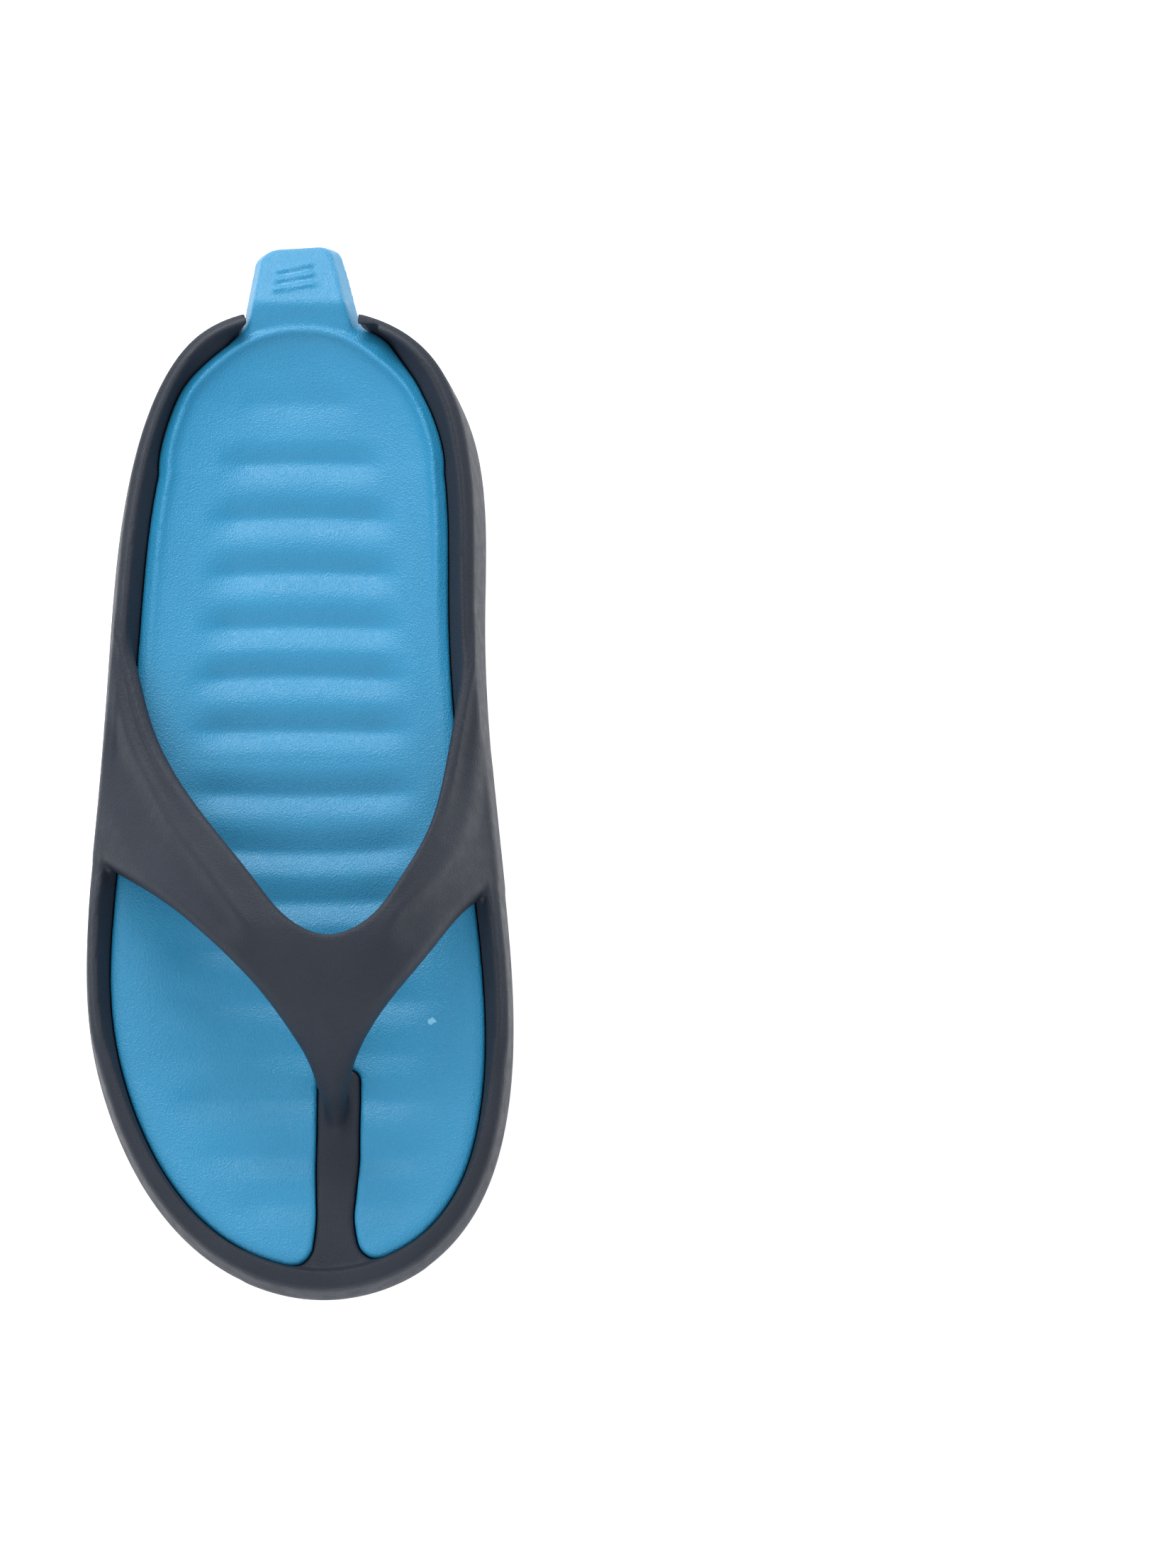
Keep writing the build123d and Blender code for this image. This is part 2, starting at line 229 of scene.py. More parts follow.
def path_distance(line: np.ndarray, x: np.ndarray, y: np.ndarray, closed: bool) -> tuple:
    """Distance in plan from every grid point to a line of samples.

    Args:
        line: Samples along the line.
        x: Places along X, as a column.
        y: Places along Y, as a row.
        closed: True when the last sample joins the first.

    Returns:
        The distance, whether each point is inside the loop, and the share of the
        line's length at the nearest point.
    """
    best = np.full((x.size, y.size), FAR)
    share = np.zeros_like(best)
    inside = np.zeros(best.shape, bool)
    ends = np.roll(line, -1, axis=0) if closed else line[1:]
    starts = line if closed else line[:-1]
    lengths = np.hypot(*(ends - starts).T)
    reached = np.concatenate([[0], np.cumsum(lengths)]) / lengths.sum()
    for index, ((ax, ay), (bx, by)) in enumerate(zip(starts, ends)):
        ex, ey = bx - ax, by - ay
        dx, dy = x - ax, y - ay
        t = np.clip((dx * ex + dy * ey) / (ex * ex + ey * ey + 1e-12), 0, 1)
        squared = (dx - ex * t) ** 2 + (dy - ey * t) ** 2
        nearer = squared < best
        best = np.where(nearer, squared, best)
        along = reached[index] + t * (reached[index + 1] - reached[index])
        share = np.where(nearer, along, share)
        if ay != by:
            crosses = ((y >= ay) != (y >= by)) & (x < ex * (y - ay) / ey + ax)
            inside ^= crosses
    return np.sqrt(best), inside, share


def loop_distance(line: np.ndarray, x: np.ndarray, y: np.ndarray) -> np.ndarray:
    """Signed distance in plan to a closed loop, negative inside.

    Args:
        line: Samples round the loop.
        x: Places along X, as a column.
        y: Places along Y, as a row.

    Returns:
        The signed distance.
    """
    distance, inside, _ = path_distance(line, x, y, True)
    return np.where(inside, -distance, distance)


@dataclass
class Profile:
    """A size that changes smoothly from the toe to the heel."""

    points: list
    spread: float = 9.0

    def at(self, y: np.ndarray) -> np.ndarray:
        """Size at each place along Y.

        Args:
            y: Places along Y.

        Returns:
            The size there, with every corner rounded over about the spread.
        """
        places, values = zip(*self.points)
        offsets = np.linspace(-1, 1, 9) * self.spread
        weights = 1 - (offsets / (self.spread * 1.2)) ** 2
        total = sum(w * np.interp(y + o, places, values) for w, o in zip(weights, offsets))
        return total / weights.sum()


@dataclass
class Carving:
    """Grid of sample points, in millimetres, on which a moulding is measured and meshed."""

    low: tuple
    high: tuple
    pitch: float

    def __post_init__(self) -> None:
        """Lay out the sample places."""
        self.axes = [
            np.arange(a, b + self.pitch, self.pitch, dtype=np.float32)
            for a, b in zip(self.low, self.high)
        ]
        self.x = self.axes[0][:, None]
        self.y = self.axes[1][None, :]
        self.z = self.axes[2][None, None, :]

    def mesh(self, name: str, solid: np.ndarray, rounds: int = 2) -> bpy.types.Object:
        """Skin of a solid.

        Args:
            name: Name of the new piece.
            solid: Field on the grid, negative inside.
            rounds: Rounds of light smoothing.

        Returns:
            The new piece, linked to the scene, in metres.
        """
        grid = openvdb.FloatGrid(FIELD_REACH)
        grid.copyFromArray(np.clip(solid, -FIELD_REACH, FIELD_REACH).astype(np.float32))
        points, triangles, quads = grid.convertToPolygons(isovalue=0.0, adaptivity=0.0)
        points = points.astype(np.float64)
        sides = ([0, 1], [1, 2], [2, 3], [3, 0])
        edges = np.vstack([quads[:, side] for side in sides])
        for turn in range(rounds * 2):
            points = self._relaxed(points, edges, 0.5 if turn % 2 == 0 else -0.52)
        points = (points * self.pitch + np.array(self.low)) * MM
        faces = [tuple(face[::-1]) for face in quads.tolist() + triangles.tolist()]
        mesh = bpy.data.meshes.new(name)
        mesh.from_pydata(points.tolist(), [], faces)
        mesh.validate()
        piece = bpy.data.objects.new(name, mesh)
        bpy.context.scene.collection.objects.link(piece)
        count = sum(len(face) - 2 for face in faces)
        if count > MOST_TRIANGLES:
            piece.data = self._thinned(piece, MOST_TRIANGLES / count)
        piece.data.polygons.foreach_set("use_smooth", [True] * len(piece.data.polygons))
        piece.data.update()
        return piece

    @staticmethod
    def _thinned(piece: bpy.types.Object, ratio: float) -> bpy.types.Mesh:
        """Thin out a piece, most where it is flat.

        Args:
            piece: The piece, which keeps its own mesh.
            ratio: Share of the triangles to keep.

        Returns:
            The thinned mesh.
        """
        thin = piece.modifiers.new("thin", "DECIMATE")
        thin.ratio = ratio
        graph = bpy.context.evaluated_depsgraph_get()
        mesh = bpy.data.meshes.new_from_object(piece.evaluated_get(graph))
        piece.modifiers.clear()
        return mesh

    @staticmethod
    def _relaxed(points: np.ndarray, edges: np.ndarray, share: float) -> np.ndarray:
        """Move every point towards the mean of its neighbours.

        Args:
            points: Places of the points, one row each.
            edges: Pairs of neighbours, one row each.
            share: Share of the way to move, negative to move away.

        Returns:
            The moved points.
        """
        total = np.zeros_like(points)
        for axis in range(3):
            total[:, axis] = np.bincount(edges[:, 0], points[edges[:, 1], axis], len(points))
            total[:, axis] += np.bincount(edges[:, 1], points[edges[:, 0], axis], len(points))
        count = np.bincount(edges.ravel(), minlength=len(points))[:, None]
        return points + share * (total / np.maximum(count, 1) - points)


# ------------------------------------------------------------------- finishes
@dataclass
class NodeBench:
    """Node tree of one material, with short ways to add the common nodes."""

    tree: bpy.types.NodeTree

    def __post_init__(self) -> None:
        """Start with a shader, its output, and the place on the piece."""
        self.tree.nodes.clear()
        output = self.add("ShaderNodeOutputMaterial")
        self.shader = self.add("ShaderNodeBsdfPrincipled")
        self.link(self.shader.outputs["BSDF"], output.inputs["Surface"])
        self.place = self.add("ShaderNodeTexCoord").outputs["Object"]

    def add(self, kind: str) -> bpy.types.Node:
        """Add one node of a kind and return it."""
        return self.tree.nodes.new(kind)

    def link(self, source: bpy.types.NodeSocket, target: bpy.types.NodeSocket) -> None:
        """Join an output to an input."""
        self.tree.links.new(source, target)

    def noise(self, scale: float, detail: float, rough: float = 0.5) -> bpy.types.NodeSocket:
        """Cloudy noise.

        Args:
            scale: Cells per metre.
            detail: Number of finer layers.
            rough: Strength of the finer layers.

        Returns:
            The noise, from 0 to 1.
        """
        node = self.add("ShaderNodeTexNoise")
        node.inputs["Scale"].default_value = scale
        node.inputs["Detail"].default_value = detail
        node.inputs["Roughness"].default_value = rough
        self.link(self.place, node.inputs["Vector"])
        return node.outputs["Fac"]

    def cells(self, scale: float) -> bpy.types.NodeSocket:
        """Distance to the nearest cell centre.

        Args:
            scale: Cells per metre.

        Returns:
            The distance.
        """
        node = self.add("ShaderNodeTexVoronoi")
        node.inputs["Scale"].default_value = scale
        self.link(self.place, node.inputs["Vector"])
        return node.outputs["Distance"]

    def ramp(self, value: bpy.types.NodeSocket, stops: tuple) -> bpy.types.NodeSocket:
        """Colour that runs from one stop to the other.

        Args:
            value: What to colour.
            stops: Two pairs of a value and its colour.

        Returns:
            The colour.
        """
        node = self.add("ShaderNodeValToRGB")
        for element, (position, colour) in zip(node.color_ramp.elements, stops):
            element.position = position
            element.color = (*colour, 1)
        self.link(value, node.inputs["Fac"])
        return node.outputs["Color"]

    def tinted(
        self, share: bpy.types.NodeSocket, base: bpy.types.NodeSocket, tint: tuple
    ) -> bpy.types.NodeSocket:
        """Mix a colour over another.

        Args:
            share: Share of the tint.
            base: Colour below.
            tint: Colour over it.

        Returns:
            The mixed colour.
        """
        node = self.add("ShaderNodeMix")
        node.data_type = "RGBA"
        node.blend_type = "MIX"
        self.link(share, node.inputs["Factor"])
        self.link(base, node.inputs[6])
        node.inputs[7].default_value = (*tint, 1)
        return node.outputs[2]

    def scaled(
        self, value: bpy.types.NodeSocket, source: tuple, target: tuple
    ) -> bpy.types.NodeSocket:
        """Map a value from one range to another, held at its ends.

        Args:
            value: What to map.
            source: Start and end of its range.
            target: What they become.

        Returns:
            The mapped value.
        """
        node = self.add("ShaderNodeMapRange")
        names = ("From Min", "From Max", "To Min", "To Max")
        for name, number in zip(names, (*source, *target)):
            node.inputs[name].default_value = number
        self.link(value, node.inputs["Value"])
        return node.outputs["Result"]

    def bump(
        self, height: bpy.types.NodeSocket, strength: float, depth: float
    ) -> bpy.types.Node:
        """Raise a surface by a height.

        Args:
            height: The height, from 0 to 1.
            strength: Strength of the relief.
            depth: Depth of the relief in metres.

        Returns:
            The node, which takes and gives a normal.
        """
        node = self.add("ShaderNodeBump")
        node.inputs["Strength"].default_value = strength
        node.inputs["Distance"].default_value = depth
        self.link(height, node.inputs["Height"])
        return node


@dataclass(frozen=True)
class FoamFinish:
    """Closed cell foam straight from the mould: fine grain, soft sheen, a painted highlight on
    convex edges and painted shade in creases.
    """

    name: str
    colour: tuple
    # shade: darker tone of the random mottle, and the colour of the painted shade in concave
    # creases
    shade: tuple
    # edge: pale colour of the random flecks, and of the painted highlight on convex edges and
    # crests
    edge: tuple
    roughness: float
    gloss: float
    grain: float
    speckle: float
    mottle_range: tuple = (0.3, 0.72)
    fleck_range: tuple = (0.62, 0.74)
    # pointiness range and share of the painted highlight on convex edges
    painted_highlight_range: tuple = (0.518, 0.548)
    painted_highlight_share: float = 0.75
    # pointiness range and share of the painted shade in concave creases
    painted_shade_range: tuple = (0.44, 0.49)
    painted_shade_share: float = 0.35
    sheen_range: tuple = (0.3, 0.7)
    sheen_spread: tuple = (0.05, 0.07)
    grain_depth: float = 0.0002
    swell: float = 0.10
    swell_depth: float = 0.0010

    def material(self) -> bpy.types.Material:
        """Make the node material.

        Returns:
            The finished material.
        """
        material = bpy.data.materials.new(self.name)
        material.use_nodes = True
        bench = NodeBench(material.node_tree)
        shader = bench.shader
        bench.link(self._colour(bench), shader.inputs["Base Color"])
        smoother, rougher = self.sheen_spread
        sheen = (self.roughness - smoother, self.roughness + rougher)
        sheen_noise = bench.noise(scale=260, detail=3)
        bench.link(bench.scaled(sheen_noise, self.sheen_range, sheen), shader.inputs["Roughness"])
        shader.inputs["Specular IOR Level"].default_value = self.gloss
        bench.link(self._relief(bench), shader.inputs["Normal"])
        return material

    def _colour(self, bench: NodeBench) -> bpy.types.NodeSocket:
        """Mottled foam, flecked, with a painted highlight on convex edges and painted shade in
        concave creases.

        Args:
            bench: Bench of the material.

        Returns:
            The colour.
        """
        start, end = self.mottle_range
        cloud = bench.noise(scale=38, detail=4)
        mottle = bench.ramp(cloud, ((start, self.shade), (end, self.colour)))
        speckles = bench.noise(scale=1500, detail=2, rough=0.6)
        fleck = bench.scaled(speckles, self.fleck_range, (0.0, self.speckle))
        flecked = bench.tinted(fleck, mottle, self.edge)
        pointed = bench.add("ShaderNodeNewGeometry").outputs["Pointiness"]
        # painted highlight: convex places, found by pointiness, are tinted towards the pale edge
        # colour
        painted_highlight = bench.scaled(pointed, self.painted_highlight_range, (0.0, self.painted_highlight_share))
        highlighted = bench.tinted(painted_highlight, flecked, self.edge)
        # painted shade: concave places, found by pointiness, are tinted towards the shade colour
        deep = bench.scaled(pointed, self.painted_shade_range, (self.painted_shade_share, 0.0))
        return bench.tinted(deep, highlighted, self.shade)

    def _relief(self, bench: NodeBench) -> bpy.types.NodeSocket:
        """Fine grain of the mould over a broad, faint swell.

        Args:
            bench: Bench of the material.

        Returns:
            The normal.
        """
        grain = bench.add("ShaderNodeMath")
        grain.operation = "ADD"
        bench.link(bench.noise(scale=2600, detail=2, rough=0.6), grain.inputs[0])
        bench.link(bench.cells(scale=2000), grain.inputs[1])
        fine = bench.bump(grain.outputs[0], self.grain, self.grain_depth)
        broad = bench.bump(bench.noise(scale=120, detail=3), self.swell, self.swell_depth)
        bench.link(fine.outputs["Normal"], broad.inputs["Normal"])
        return broad.outputs["Normal"]

    def dress(self, piece: bpy.types.Object) -> None:
        """Put the finish on a piece, in place of what it wears."""
        piece.data.materials.clear()
        piece.data.materials.append(self.material())


SHELL_FINISH = FoamFinish(
    "shell_foam_finish",
    colour=(0.035, 0.042, 0.058),
    # darker mottle tone, also the colour of the painted shade in creases
    shade=(0.028, 0.034, 0.048),
    # pale fleck colour, also the colour of the painted highlight on convex edges
    edge=(0.090, 0.100, 0.118),
    roughness=0.50,
    gloss=0.17,
    grain=0.50,
    speckle=0.10,
)
FOOTBED_FINISH = FoamFinish(
    "footbed_foam_finish",
    colour=(0.028, 0.300, 0.553),
    # darker mottle tone, also the colour of the painted shade in the rib creases
    shade=(0.023, 0.274, 0.515),
    # pale fleck colour, also the colour of the painted highlight on convex edges and the heel lip
    # crest
    edge=(0.260, 0.660, 0.920),
    roughness=0.36,
    gloss=0.46,
    grain=0.60,
    speckle=0.08,
)


# --------------------------------------------------------------------- the last
@dataclass
class Sided:
    """A size with one profile on the outer side and one on the big toe side."""

    outer: Profile
    inner: Profile
    reach: float = 14.0

    def over(self, x: np.ndarray, y: np.ndarray) -> np.ndarray:
        """Size over the plan.

        Args:
            x: Places along X, as a column.
            y: Places along Y, as a row.

        Returns:
            The size, easing from one side to the other across the middle.
        """
        share = step(x, -self.reach, self.reach)
        return self.outer.at(y) * (1 - share) + self.inner.at(y) * share


def footbed_insets() -> Sided:
    """Distance from the outline of the sole to the edge of the footbed."""
    outer = [
        (-143, 6.7), (-134, 6.5), (-100, 6.8), (-60, 7.2), (-40, 7.7), (0, 8.8), (40, 9.5),
        (92, 9.8), (106, 10.2), (114, 10.0), (120, 8.9), (124, 6.4), (129, 4.0),
    ]
    inner = [
        (-143, 7.0), (-134, 6.5), (-118, 6.7), (-100, 7.3), (-60, 8.3), (-30, 9.0),
        (0, 9.6), (50, 10.3), (94, 11.1), (105, 10.6), (115, 8.9), (120, 6.9), (124, 4.4),
        (129, 3.6),
    ]
    return Sided(Profile(outer, 3), Profile(inner, 3))


@dataclass
class Last:
    """Outline and side lines that the shell and the footbed share."""

    stations: tuple = (
        (0.035, 0.362, 0.632), (0.090, 0.626, 0.846), (0.170, 0.833, 0.970),
        (0.260, 0.953, 1.006), (0.380, 0.977, 0.975), (0.500, 0.946, 0.916),
        (0.680, 0.912, 0.863), (0.820, 0.852, 0.853), (0.910, 0.730, 0.746),
        (0.970, 0.525, 0.509),
    )
    tip_offset: float = 0.135
    centre: float = 11.7
    lobe_round: float = 6.6
    bar_end_round: float = 3.4
    slot_line: tuple = ((11.2, -150), (11.4, -136), (12.1, -112), (12.1, -86))
    lip_line: tuple = (
        (-36.6, 80), (-34.4, 99), (-30.6, 107.6), (-25.6, 113.4), (-20.9, 117.6),
        (-15.9, 121.0), (-11.0, 123.1), (-6.0, 124.2), (-0.9, 124.5), (4.0, 124.2),
        (8.7, 123.1), (13.7, 120.8), (18.7, 117.2), (23.4, 113.2), (28.8, 106.9),
        (33.0, 98.5), (35.6, 80), (0, 70),
    )
    lip_share: float = 3.2
    footbed_inset: Sided = field(default_factory=footbed_insets)
    half_width: float = 59.0
    toe_bar_back: float = 0.2225
    bar_half: tuple = (4.8, 5.95)
    bar_flare: tuple = (1.2, 2.9)

    def __post_init__(self) -> None:
        """Read the overall sizes from the frame."""
        sole_low, sole_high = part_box("sole")
        self.toe_y = sole_low.y / MM
        self.heel_y = sole_high.y / MM
        self.length = self.heel_y - self.toe_y
        self.tab_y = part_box("heel_tab")[1].y / MM
        self.strap_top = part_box("strap_outer_arm")[1].z / MM
        self.bend_y = frame["joints"][0]["pos_m"][1] / MM
        along = self.along
        self.bar_back = along(self.toe_bar_back)
        self.ground = Profile(
            [
                (along(0), 8.5),
                (along(0.1), 3.8),
                (along(0.2), 1.1),
                (along(0.3), 0),
                (along(0.95), 0),
                (along(1), 0.6),
            ],
            7,
        )
        self.floor = Profile(
            [
                (along(0.03), 14),
                (along(0.2), 11),
                (along(0.37), 11),
                (self.bend_y, 15),
                (along(1), 15),
            ],
            5,
        )
        self.bed = Profile(
            [
                (along(0.03), 23.6),
                (along(0.2), 21),
                (along(0.37), 21),
                (0, 24.3),
                (self.bend_y, 25.2),
                (along(0.8), 26.6),
                (along(1), 27.2),
            ],
            10,
        )
        self.rim = Profile(
            [
                (along(0), 25.6),
                (along(0.08), 25.4),
                (along(0.2), 25.7),
                (along(0.37), 28.5),
                (self.bend_y, 32.4),
                (along(1), 34),
            ],
            10,
        )
        self.widest = Profile(
            [(along(0), 17), (along(0.2), 14), (along(0.4), 13), (along(1), 13)], 10
        )

    def along(self, station: float) -> float:
        """Place along Y.

        Args:
            station: Share of the sole's length from the tip of the toe.

        Returns:
            The place.
        """
        return self.toe_y + station * self.length

    def outline(self, grid: Carving) -> np.ndarray:
        """Distance in plan to the widest outline of the sole.

        Args:
            grid: Grid to measure on.

        Returns:
            The signed distance, negative inside.
        """

        def place(station: float, share: float) -> tuple:
            """Point at a station, at a share of the half width."""
            return share * self.half_width, self.along(station)

        outer = [place(s, -a) for s, a, _ in self.stations]
        inner = [place(s, b) for s, _, b in self.stations]
        loop = spline([place(0, self.tip_offset), *outer, place(1, 0), *inner[::-1]], True)
        return loop_distance(loop, grid.x, grid.y)

    def bed_plan(self, grid: Carving) -> tuple:
        """Plan of the footbed, whole and with the slot for the toe bar.

        Args:
            grid: Grid to measure on.

        Returns:
            The signed distances to the whole plan, to the slotted plan, and to the crest
            line of the heel lip.
        """
        whole = self.outline(grid) + self.footbed_inset.over(grid.x, grid.y)
        centres, places = zip(*self.slot_line)
        middle = np.interp(grid.y, places, centres)
        narrow, wide = self.bar_half
        half = narrow + (wide - narrow) * step(grid.y, -136, -112)
        flare = np.where(grid.x < middle, *self.bar_flare) * step(-grid.y, 126, 143)
        across = np.abs(grid.x - middle) - half - flare
        slot = rounded(across, grid.y - self.bar_back, self.bar_end_round)
        crest = loop_distance(spline(list(self.lip_line), True), grid.x, grid.y)
        whole = np.minimum(whole, crest - self.lip_share)
        return whole, rounded(whole, -slot, self.lobe_round), crest


# ------------------------------------------------------------------- the shell
@dataclass
class Shell:
    """Dark moulding: sole, wall with its rim bead, strap, toe post and toe bar."""

    last: Last
    finish: FoamFinish = SHELL_FINISH
    pitch: float = 0.72
    half_room: float = 62
    undercut: float = 3.2
    skin_round: float = 0.8
    gap: float = 0.3
    rim_dip: float = 2.5
    rim_edge: float = 1.5
    rim_bead: float = 0.6
    sole_round: float = 2.5
    floor_fillet: float = 2.0
    lip_edge: float = 0.5
    bar_block: tuple = (24, 6)
    bar_drop: float = 0.7
    bar_gap: float = 0.35
    bar_edge: float = 1.0
    bar_fillet: float = 1.6
    strap_thickness: float = 6.0
    strap_edge: float = 1.9
    strap_crown: float = 0.9
    strap_fillet: float = 2.4
    arch_power: float = 2.2
    arch_reach: float = 14
    scoop_depths: tuple = (2.1, 1.7)
    post_top: tuple = (-82.0, 45.0)
    post_foot: tuple = (-99.2, 20.0)
    post_widths: tuple = ((-0.1, 8.0), (0.25, 5.7), (0.5, 3.8), (0.75, 3.0), (1.0, 2.8))
    post_depths: tuple = ((-0.1, 3.6), (0.3, 5.0), (1.0, 5.6))
    post_low: float = 16
    post_fillet: float = 2.8
    notch_sides: tuple = (-16.4, 20.4)
    notch_floor: float = 22.8
    notch_depth: float = 24
    notch_lean: float = 0.4
    notch_edge: float = 1.0
    ledge: tuple = (14.5, 125.8, 32.6)
    tread_pitch: float = 8.5
    tread_depth: float = 1.5
    tread_wave: tuple = (2.6, 11.0)
    tread_groove: float = 0.14
    tread_margin: float = 8.5
    opening: tuple = (
        (-58, 50), (-48.0, 34), (-43.0, 18), (-39.9, 6.8), (-33.5, -8.2), (-22.7, -26.1),
        (-8.4, -46.5), (1.6, -58.2), (10.8, -61.6), (18.9, -58.6), (28.1, -46.2),
        (36.5, -27), (40.9, -5), (43.3, 12), (46.8, 30), (56, 50),
    )
    inner_front: tuple = (
        (64, -26), (54, -36.4), (46.6, -45.5), (37.7, -60.8), (28.1, -74.2), (20.6, -83.0),
        (15.9, -90.0), (13.6, -95.6), (11.7, -98.5),
    )
    outer_front: tuple = (
        (11.7, -98.5), (8.6, -97), (5.5, -91.2), (0.9, -84.1), (-7.0, -74.8),
        (-18.8, -62.4), (-33.3, -47.6), (-48.5, -34.2), (-64, -20),
    )
    outer_ridge: tuple = (
        (-51, 40), (-50.6, 27), (-49.6, 16), (-47.2, 4), (-44, -4.6), (-39.6, -13.8),
        (-34.6, -24.4), (-26.7, -36.4), (-18.3, -49), (-8.5, -62.8),
    )
    inner_ridge: tuple = (
        (50.5, 30), (50.3, 14), (49.6, 1), (48.9, -10), (45.5, -27), (38.5, -42.3),
        (30.8, -52.4), (23.9, -62.8),
    )

    def __post_init__(self) -> None:
        """Lay out the sizes that change along the shoe."""
        along = self.last.along
        top = self.last.strap_top
        self.lip_inset = Sided(
            Profile(
                [
                    (-150, 5.6), (-100, 5.5), (-88, 5.3), (-80, 4.5), (-40, 4.5), (0, 5.5),
                    (40, 6.5), (100, 6.8), (117, 6.4), (128, 6.1),
                ],
                4,
            ),
            Profile(
                [
                    (-150, 5.6), (-100, 5.8), (-86, 5.7), (-78, 5.0), (-60, 5.1),
                    (-40, 5.6), (0, 6.3), (40, 6.8), (90, 7.9), (105, 7.4), (117, 6.3),
                    (128, 6.1),
                ],
                4,
            ),
        )
        self.rim_width = Sided(
            Profile(
                [
                    (-150, 4.6), (-100, 4.0), (-60, 3.1), (0, 3.2), (60, 3.5), (110, 3.7),
                    (128, 4.0),
                ],
            ),
            Profile(
                [
                    (-150, 4.6), (-100, 4.0), (-60, 3.3), (0, 3.5), (60, 3.9), (110, 3.9),
                    (128, 4.0),
                ],
            ),
        )
        self.arch_low = Profile(
            [
                (along(0.2), 21), (along(0.3), 23.5), (along(0.39), 26.5), (along(0.5), 29),
                (along(0.64), 32),
            ],
        )
        self.arch_high = Profile(
            [
                (along(0.17), 0.42 * top),
                (along(0.2), 0.57 * top),
                (along(0.225), 0.71 * top),
                (along(0.265), 0.90 * top),
                (along(0.312), 0.985 * top),
                (along(0.39), 0.95 * top),
                (along(0.5), 0.85 * top),
                (along(0.64), 0.68 * top),
            ],
            6,
        )
        self.arch_left = Profile(
            [
                (along(0.2), -51), (along(0.3), -55.5), (along(0.39), -55.5),
                (along(0.5), -53), (along(0.64), -50.5),
            ],
        )
        self.arch_right = Profile(
            [
                (along(0.2), 54), (along(0.3), 56), (along(0.39), 54.5), (along(0.5), 50.5),
                (along(0.64), 48.5),
            ],
        )

    def build(self) -> bpy.types.Object:
        """Carve the whole moulding.

        Returns:
            The shell as one piece.
        """
        last = self.last
        low = (-self.half_room, last.toe_y - 3, -2)
        high = (self.half_room, last.heel_y + 3, last.strap_top + 4)
        self.grid = Carving(low, high, self.pitch)
        self.outline = last.outline(self.grid)
        self.lip = self.lip_inset.over(self.grid.x, self.grid.y)
        self.shoulder = self.lip - self.rim_width.over(self.grid.x, self.grid.y)
        skin = self._outside()
        solid = smooth_min(self._tray(skin), self._strap(), self.strap_fillet)
        solid = smooth_min(solid, self._post(), self.post_fillet)
        solid = smooth_max(solid, skin, self.skin_round)
        ground = last.ground.at(self.grid.axes[1])[None, :, None]
        solid = np.maximum(solid, ground - self.grid.z)
        solid = np.maximum(solid, -self._notch())
        solid = np.maximum(solid, -self._tread())
        piece = self.grid.mesh("shell", solid)
        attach(piece, Body.SHELL.value)
        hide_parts(*SHELL_NODES)
        return piece

    def _outside(self) -> np.ndarray:
        """Outer skin of the sole and wall, without a top.

        Returns:
            The field, negative inside.
        """
        g, last = self.grid, self.last
        y = g.axes[1]
        widest = last.widest.at(y)[None, :, None]
        ground = last.ground.at(y)[None, :, None]
        under = np.clip((widest - g.z) / (widest - ground), 0, 1.4)
        rise = np.clip((g.z - widest) / (last.rim.at(y)[None, :, None] - widest), 0, 1.6)
        draw = self.undercut * under**2.2 + self.shoulder[:, :, None] * rise**1.3
        return self.outline[:, :, None] + draw

    def _tray(self, skin: np.ndarray) -> np.ndarray:
        """Sole, wall, rim bead and toe bar, with the space for the footbed.

        Args:
            skin: Outer skin of the sole and wall.

        Returns:
            The field, negative inside.
        """
        g, last = self.grid, self.last
        y = g.axes[1]
        inset = -self.outline
        arms = step(y, last.along(0.38), last.along(0.42))
        arms = arms * (1 - step(y, last.along(0.52), last.along(0.58)))
        rim = (last.rim.at(y) - self.rim_dip * arms)[None, :] + 0 * g.x
        out = np.clip((self.lip - inset) / (self.lip - self.shoulder), 0, 1.5)
        heel = step(y, 20, 100)[None, :]
        top = rim - (0.25 + 1.0 * heel) * out - (0.75 - 0.5 * heel) * out**3
        bead = step(y, -92, -76)[None, :] * self.rim_bead
        crest = ridge(inset, self.lip - 0.95, 0.75)
        groove = ridge(inset, self.lip - 2.5, 0.9)
        top = top + bead * crest - 0.8 * bead * groove
        wall = rounded(skin, g.z - top[:, :, None], self.rim_edge)
        wall = smooth_max(wall, last.ground.at(y)[None, :, None] - g.z, self.sole_round)
        whole, slotted, _ = last.bed_plan(g)
        heel = step(y, last.along(0.62), last.along(0.95))[None, :, None]
        bed = last.bed.at(y)[None, :, None] + 0.1 + 1.7 * heel
        share = np.clip((g.z - bed) / (rim[:, :, None] - bed), 0, 1.25)
        low_edge = (whole - self.gap)[:, :, None]
        high_edge = (self.lip - inset)[:, :, None]
        inner = low_edge * (1 - share) + high_edge * share
        cavity = smooth_max(inner, last.floor.at(y)[None, :, None] - g.z, self.floor_fillet)
        tray = smooth_max(wall, -cavity, self.lip_edge)
        half, back = self.bar_block
        near = np.maximum(np.abs(g.x - last.centre) - half, g.y - last.bar_back - back)
        bar = np.maximum(self.bar_gap - slotted, near)
        bar_top = g.z - (bed - self.bar_drop)
        block = rounded(bar[:, :, None] + 0 * g.z, bar_top, self.bar_edge)
        return smooth_min(tray, np.maximum(block, skin), self.bar_fillet)

